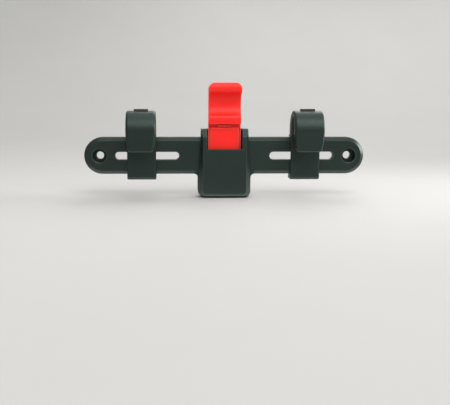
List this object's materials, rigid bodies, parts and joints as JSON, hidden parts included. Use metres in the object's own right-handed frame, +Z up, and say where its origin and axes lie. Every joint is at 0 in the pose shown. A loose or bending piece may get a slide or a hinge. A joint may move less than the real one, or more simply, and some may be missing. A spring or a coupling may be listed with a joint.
{
  "type": "bike rack adapter",
  "caption": "Moulded rail for the back of a bag, with sliding hooks that hang on a rack tube and a sprung finger latch in the middle that holds the tube in the hooks.",
  "frame": {"origin": "midway between the two end screw holes, on the rear mounting face", "axes": "+X along the rail to the viewer's right, +Z up as mounted, +Y out of the rear face, so the hooks and the latch face -Y"},
  "size_m": [0.252, 0.037, 0.1026],
  "materials": {
    "green_plastic": "fine spark-eroded mould texture, matt",
    "red_plastic": "satin moulded",
    "black_liner": "matt",
    "zinc_steel": "zinc plated",
    "spring_steel": "drawn wire",
    "brass": "turned"
  },
  "bodies": {
    "rail": {"rail": "green_plastic", "lock_housing": "green_plastic", "housing_screws": "zinc_steel", "latch_spring_left": "spring_steel", "latch_spring_right": "spring_steel"},
    "latch": {"latch": "red_plastic"},
    "left_hook": {"left_hook": "green_plastic", "left_tube_insert": "black_liner", "left_threaded_insert": "brass", "left_clamp_plate": "zinc_steel", "left_spring_washer": "spring_steel", "left_clamp_screw": "zinc_steel"},
    "right_hook": {"right_hook": "green_plastic", "right_tube_insert": "black_liner", "right_threaded_insert": "brass", "right_clamp_plate": "zinc_steel", "right_spring_washer": "spring_steel", "right_clamp_screw": "zinc_steel"}
  },
  "joints": [
    {"name": "latch_slide", "type": "slide", "parent": "rail", "child": "latch", "axis": [0, 0, 1], "range_m": [-0.02, 0], "stiffness_N_per_m": 300, "springref_m": 0.01, "deforming": ["latch_spring_left", "latch_spring_right"]},
    {"name": "left_hook_slide", "type": "slide", "parent": "rail", "child": "left_hook", "axis": [1, 0, 0], "range_m": [-0.0165, 0.0263]},
    {"name": "right_hook_slide", "type": "slide", "parent": "rail", "child": "right_hook", "axis": [1, 0, 0], "range_m": [-0.0245, 0.0183]}
  ]
}
